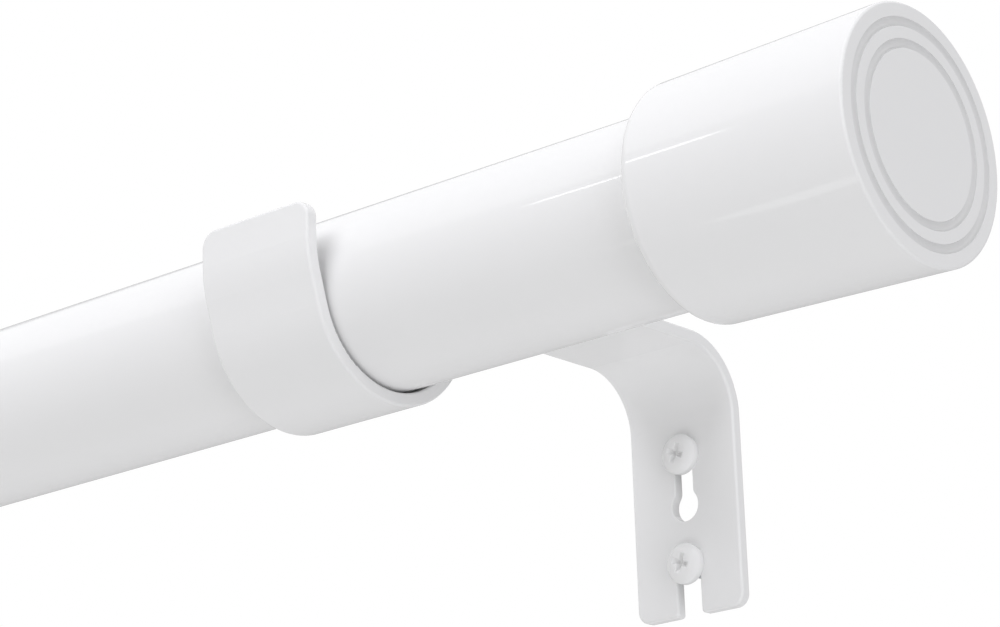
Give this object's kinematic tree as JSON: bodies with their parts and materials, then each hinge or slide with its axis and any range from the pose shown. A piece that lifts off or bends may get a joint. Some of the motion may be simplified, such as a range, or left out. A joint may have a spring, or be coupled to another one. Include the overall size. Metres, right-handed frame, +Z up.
{
  "type": "curtain rod",
  "caption": "Telescoping round curtain rod with tapered end caps, resting in the open hooks of flat-strip wall brackets.",
  "frame": {"origin": "on the wall plane, midway between the four wall screws", "axes": "+X along the rod towards its fixed end, +Y into the wall, +Z up"},
  "size_m": [0.7664, 0.1044, 0.0472],
  "materials": {
    "painted_tube": "gloss white",
    "painted_strip": "gloss white",
    "painted_cap": "gloss white",
    "painted_screw": "gloss white",
    "moulded_plastic": "moulded"
  },
  "bodies": {
    "wall_brackets": {"right_bracket": "painted_strip", "left_bracket": "painted_strip", "right_upper_screw": "painted_screw", "right_lower_screw": "painted_screw", "left_upper_screw": "painted_screw", "left_lower_screw": "painted_screw", "outer_tube": "painted_tube", "mouth_bush": "moulded_plastic"},
    "inner_rod": {"inner_tube": "painted_tube", "rear_guide": "moulded_plastic"},
    "left_finial": {"left_finial_shell": "painted_cap", "left_finial_liner": "moulded_plastic", "left_reducer_sleeve": "moulded_plastic"},
    "right_finial": {"right_finial_shell": "painted_cap", "right_finial_liner": "moulded_plastic"}
  },
  "joints": [
    {"name": "rod_extension", "type": "slide", "parent": "wall_brackets", "child": "inner_rod", "axis": [-1, 0, 0], "range_m": [-0.0395, 0.468]},
    {"name": "right_finial_pull", "type": "slide", "parent": "wall_brackets", "child": "right_finial", "axis": [1, 0, 0], "range_m": [0, 0.032]},
    {"name": "left_finial_pull", "type": "slide", "parent": "inner_rod", "child": "left_finial", "axis": [-1, 0, 0], "range_m": [0, 0.032]}
  ]
}
